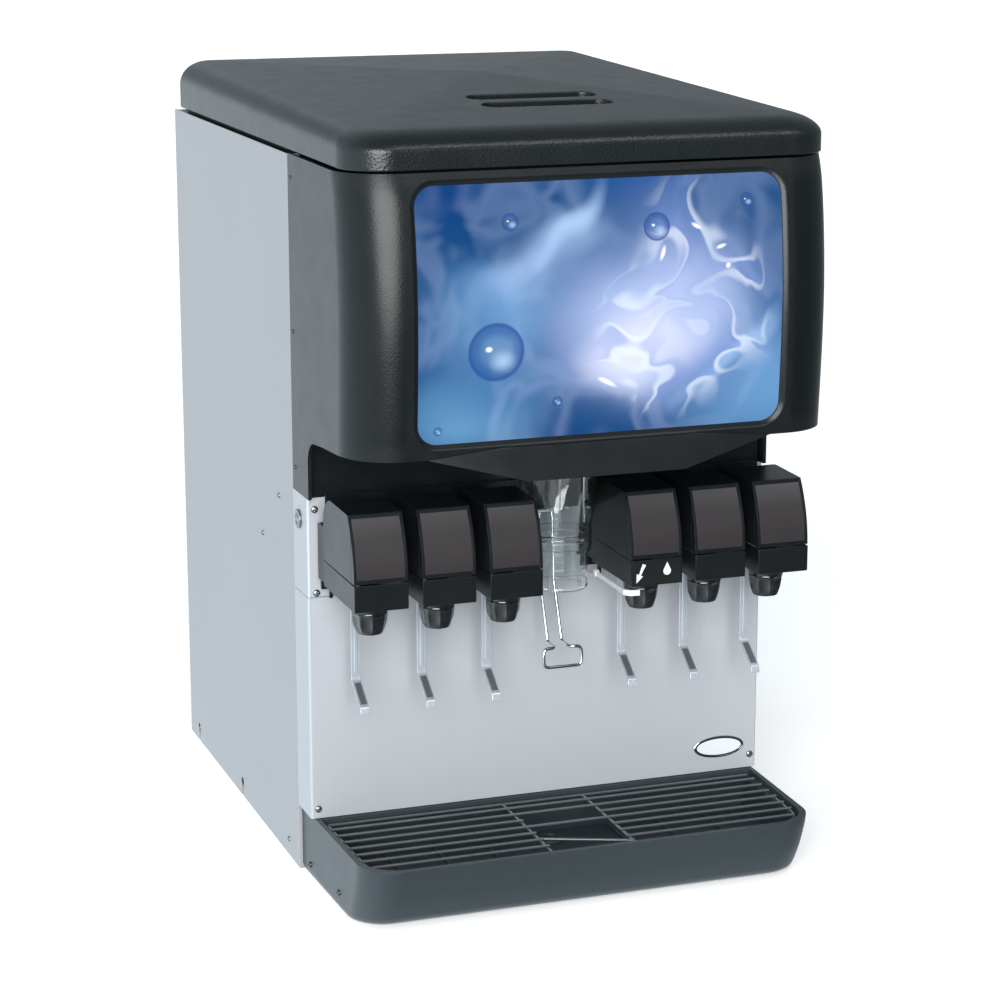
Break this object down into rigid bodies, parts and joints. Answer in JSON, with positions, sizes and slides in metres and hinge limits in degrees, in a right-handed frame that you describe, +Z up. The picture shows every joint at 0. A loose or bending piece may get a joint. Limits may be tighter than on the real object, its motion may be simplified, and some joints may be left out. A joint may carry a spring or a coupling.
{
  "type": "fountain soda dispenser",
  "caption": "Countertop fountain drink dispenser with lift-off lid, lit front panel, row of lever-operated drink valves, central ice chute, stainless splash and drip tray with a wire cup rest.",
  "frame": {"origin": "underside of the base, in the middle of the machine's width and depth", "axes": "+Z up, +X to the right of the person filling a cup, -Y towards that person"},
  "size_m": [0.5616, 0.808, 0.9063],
  "materials": {
    "stainless": "smooth satin stainless sheet",
    "chrome": "polished",
    "lever_steel": "bright formed strip",
    "black_plastic": "fine-grained moulding",
    "lid_plastic": "fine leather-grain moulding",
    "cover_plastic": "satin moulding",
    "tray_plastic": "satin moulding",
    "gloss_black": "glossy moulding",
    "clear_plastic": "clear polycarbonate",
    "white_plastic": "natural white moulding",
    "graphic": "back-lit printed film behind a clear sheet",
    "lamp": "frosted lamp tube",
    "reflector": "bright folded sheet",
    "foam": null,
    "cast_aluminium": "sand-cast",
    "motor_paint": "black enamel",
    "coated_wire": "dark coated wire"
  },
  "bodies": {
    "root": {"left_side_panel": "stainless", "right_side_panel": "stainless", "back_panel": "stainless", "base_pan": "stainless", "power_gland": "black_plastic", "lower_splash": "stainless", "upper_splash": "stainless", "drip_tray": "tray_plastic", "drain_fitting": "tray_plastic", "merchandiser_frame": "black_plastic", "graphic_panel": "graphic", "inner_wall": "black_plastic", "lamp_tube": "lamp", "lamp_reflector": "reflector", "hopper_liner": "white_plastic", "hopper_foam": "foam", "cold_plate": "cast_aluminium", "product_lines": "stainless", "agitator_motor": "motor_paint", "chute_housing": "clear_plastic", "ice_chute": "clear_plastic", "gate_solenoid": "motor_paint", "valve_body_1": "black_plastic", "valve_body_2": "black_plastic", "valve_body_3": "black_plastic", "valve_body_4": "black_plastic", "valve_body_5": "black_plastic", "valve_body_6": "black_plastic", "valve_cover_1": "cover_plastic", "valve_cover_2": "cover_plastic", "valve_cover_3": "cover_plastic", "valve_cover_4": "cover_plastic", "valve_cover_5": "cover_plastic", "valve_cover_6": "cover_plastic", "key_switch_barrel": "chrome", "transformer": "motor_paint", "control_box": "stainless"},
    "lid": {"lid": "lid_plastic"},
    "cup_rest": {"cup_rest": "coated_wire"},
    "ice_lever": {"ice_lever": "chrome"},
    "chute_gate": {"chute_gate": "white_plastic"},
    "agitator": {"agitator_shaft": "stainless", "paddle_wheel": "white_plastic"},
    "water_lever": {"water_lever": "white_plastic"},
    "key_rotor": {"key_switch_rotor": "chrome"},
    "cup_lever_1": {"cup_lever_1": "lever_steel"},
    "nozzle_1": {"nozzle_1": "gloss_black"},
    "cup_lever_2": {"cup_lever_2": "lever_steel"},
    "nozzle_2": {"nozzle_2": "gloss_black"},
    "cup_lever_3": {"cup_lever_3": "lever_steel"},
    "nozzle_3": {"nozzle_3": "gloss_black"},
    "cup_lever_4": {"cup_lever_4": "lever_steel"},
    "nozzle_4": {"nozzle_4": "gloss_black"},
    "cup_lever_5": {"cup_lever_5": "lever_steel"},
    "nozzle_5": {"nozzle_5": "gloss_black"},
    "cup_lever_6": {"cup_lever_6": "lever_steel"},
    "nozzle_6": {"nozzle_6": "gloss_black"}
  },
  "joints": [
    {"name": "lid_lift", "type": "slide", "parent": "root", "child": "lid", "axis": [0, 0, 1], "range_m": [0, 0.25]},
    {"name": "cup_rest_lift", "type": "slide", "parent": "root", "child": "cup_rest", "axis": [0, 0, 1], "range_m": [0, 0.14]},
    {"name": "ice_lever_press", "type": "hinge", "parent": "root", "child": "ice_lever", "pos_m": [0, -0.206, 0.425], "axis": [1, 0, 0], "range_deg": [0, 10], "stiffness_Nm_per_rad": 0.4, "springref_deg": -22.92},
    {"name": "gate_swing", "type": "hinge", "parent": "root", "child": "chute_gate", "pos_m": [0, -0.106, 0.64], "axis": [1, 0, 0], "range_deg": [-50, 0]},
    {"name": "agitator_turn", "type": "hinge", "parent": "root", "child": "agitator", "pos_m": [0, 0, 0.512], "axis": [0, 1, 0], "continuous": true},
    {"name": "water_lever_press", "type": "hinge", "parent": "root", "child": "water_lever", "pos_m": [0.047, -0.254, 0.3575], "axis": [1, 0, 0], "range_deg": [0, 8], "stiffness_Nm_per_rad": 0.2, "springref_deg": -17.19},
    {"name": "key_turn", "type": "hinge", "parent": "root", "child": "key_rotor", "pos_m": [-0.2795, -0.166, 0.4285], "axis": [-1, 0, 0], "range_deg": [0, 90]},
    {"name": "cup_lever_1_press", "type": "hinge", "parent": "root", "child": "cup_lever_1", "pos_m": [-0.238, -0.242, 0.376], "axis": [1, 0, 0], "range_deg": [0, 10], "stiffness_Nm_per_rad": 0.4, "springref_deg": -22.92},
    {"name": "nozzle_1_twist", "type": "hinge", "parent": "root", "child": "nozzle_1", "pos_m": [-0.238, -0.3, 0.345], "axis": [0, 0, 1], "range_deg": [0, 90]},
    {"name": "cup_lever_2_press", "type": "hinge", "parent": "root", "child": "cup_lever_2", "pos_m": [-0.1605, -0.242, 0.376], "axis": [1, 0, 0], "range_deg": [0, 10], "stiffness_Nm_per_rad": 0.4, "springref_deg": -22.92},
    {"name": "nozzle_2_twist", "type": "hinge", "parent": "root", "child": "nozzle_2", "pos_m": [-0.1605, -0.3, 0.345], "axis": [0, 0, 1], "range_deg": [0, 90]},
    {"name": "cup_lever_3_press", "type": "hinge", "parent": "root", "child": "cup_lever_3", "pos_m": [-0.083, -0.242, 0.376], "axis": [1, 0, 0], "range_deg": [0, 10], "stiffness_Nm_per_rad": 0.4, "springref_deg": -22.92},
    {"name": "nozzle_3_twist", "type": "hinge", "parent": "root", "child": "nozzle_3", "pos_m": [-0.083, -0.3, 0.345], "axis": [0, 0, 1], "range_deg": [0, 90]},
    {"name": "cup_lever_4_press", "type": "hinge", "parent": "root", "child": "cup_lever_4", "pos_m": [0.083, -0.242, 0.376], "axis": [1, 0, 0], "range_deg": [0, 10], "stiffness_Nm_per_rad": 0.4, "springref_deg": -22.92},
    {"name": "nozzle_4_twist", "type": "hinge", "parent": "root", "child": "nozzle_4", "pos_m": [0.083, -0.3, 0.345], "axis": [0, 0, 1], "range_deg": [0, 90]},
    {"name": "cup_lever_5_press", "type": "hinge", "parent": "root", "child": "cup_lever_5", "pos_m": [0.1605, -0.242, 0.376], "axis": [1, 0, 0], "range_deg": [0, 10], "stiffness_Nm_per_rad": 0.4, "springref_deg": -22.92},
    {"name": "nozzle_5_twist", "type": "hinge", "parent": "root", "child": "nozzle_5", "pos_m": [0.1605, -0.3, 0.345], "axis": [0, 0, 1], "range_deg": [0, 90]},
    {"name": "cup_lever_6_press", "type": "hinge", "parent": "root", "child": "cup_lever_6", "pos_m": [0.238, -0.242, 0.376], "axis": [1, 0, 0], "range_deg": [0, 10], "stiffness_Nm_per_rad": 0.4, "springref_deg": -22.92},
    {"name": "nozzle_6_twist", "type": "hinge", "parent": "root", "child": "nozzle_6", "pos_m": [0.238, -0.3, 0.345], "axis": [0, 0, 1], "range_deg": [0, 90]}
  ],
  "couplings": [
    {"joint": "gate_swing", "follows": "ice_lever_press", "ratio": -5}
  ]
}
